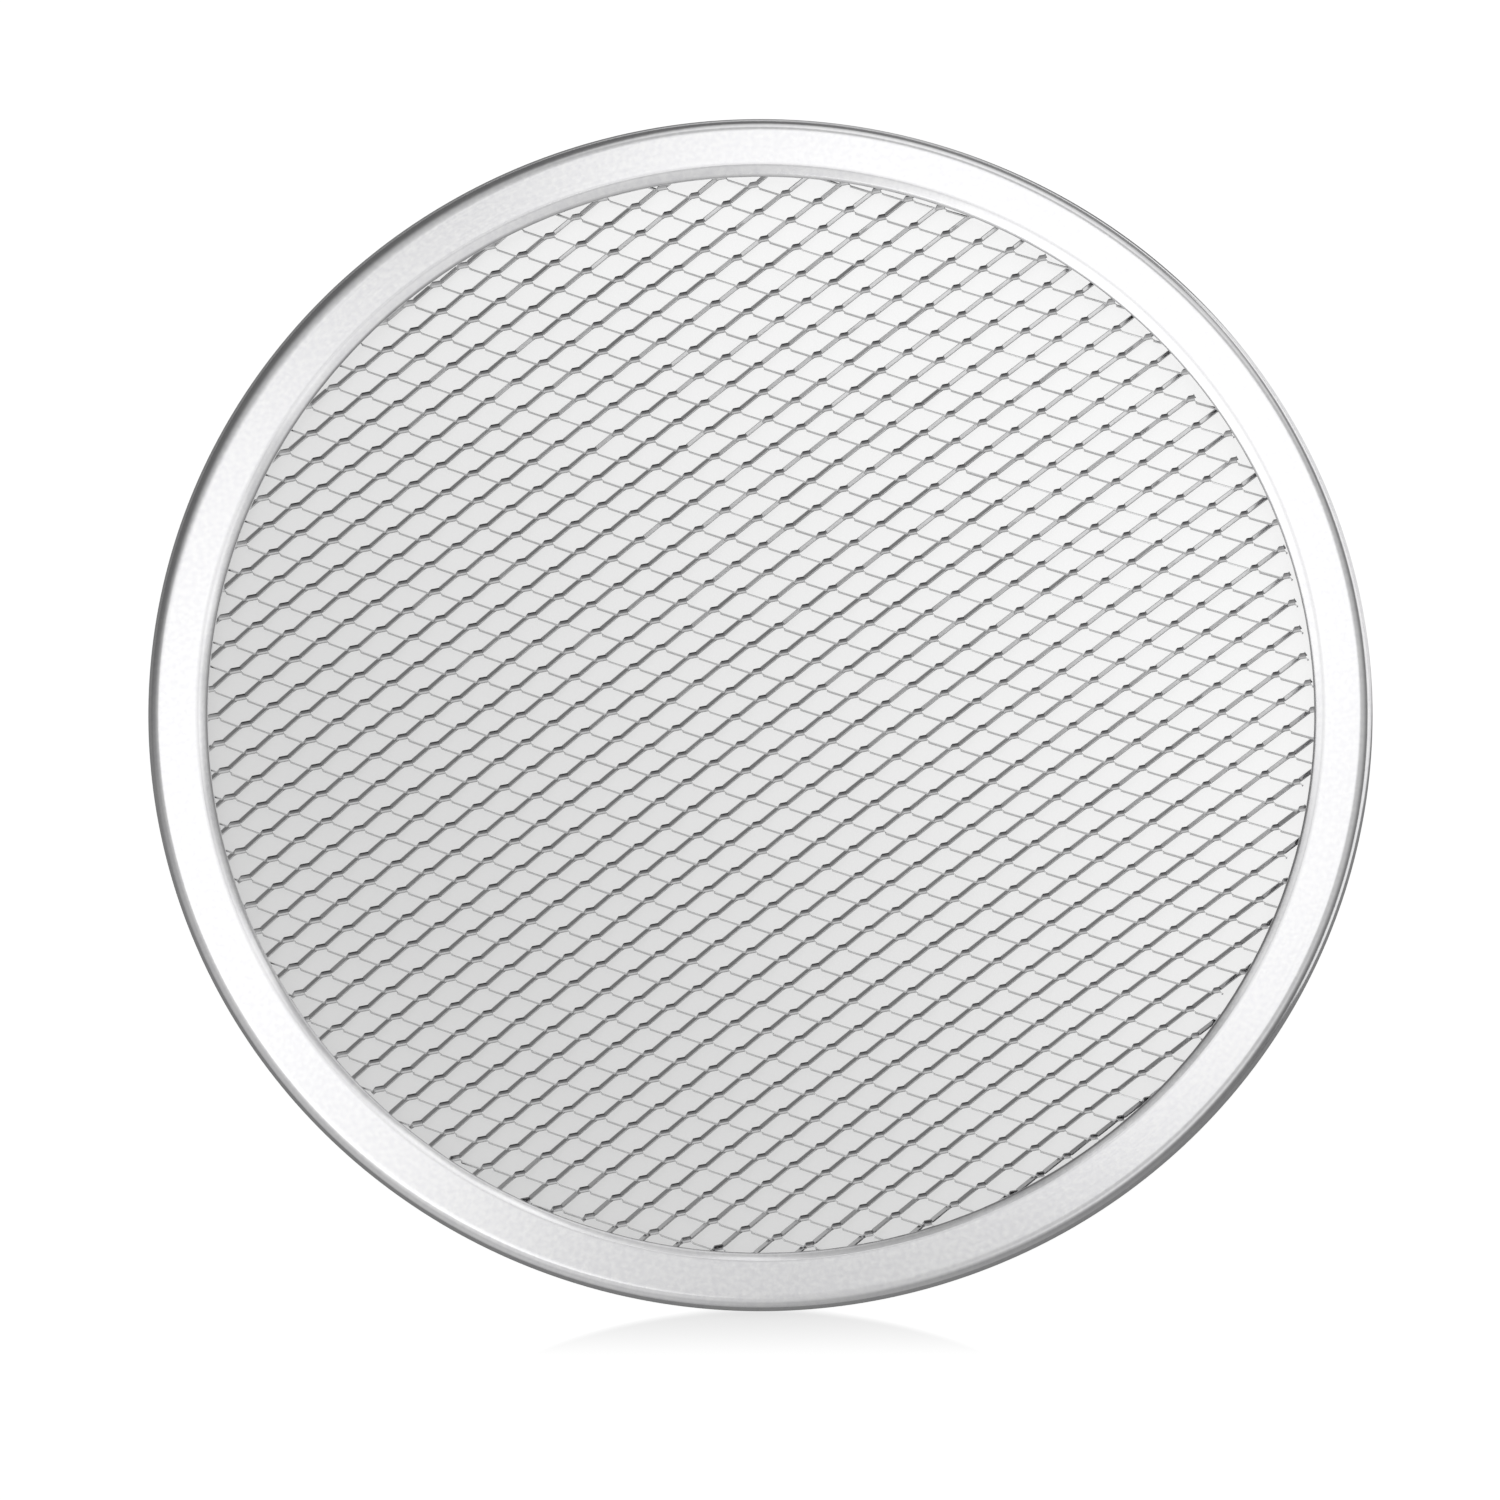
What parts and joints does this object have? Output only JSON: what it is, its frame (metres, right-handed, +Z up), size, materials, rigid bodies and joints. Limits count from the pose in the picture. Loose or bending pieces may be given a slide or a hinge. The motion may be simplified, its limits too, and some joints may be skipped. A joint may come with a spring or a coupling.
{
  "type": "pizza screen",
  "caption": "Round pizza screen: a disc of expanded aluminium mesh held in a flat, folded aluminium rim, for baking and cooling pizza.",
  "frame": {"origin": "centre of the rim's underside, where the screen rests", "axes": "+Z up, square to the disc; +X along the long diagonals of the mesh's diamonds"},
  "size_m": [0.305, 0.305, 0.0054],
  "materials": {
    "rim_aluminium": "smooth mill finish, lightly satin",
    "mesh_aluminium": "bare expanded metal with sheared strand edges"
  },
  "bodies": {
    "root": {"expanded_mesh": "mesh_aluminium", "rolled_rim": "rim_aluminium"}
  },
  "joints": []
}
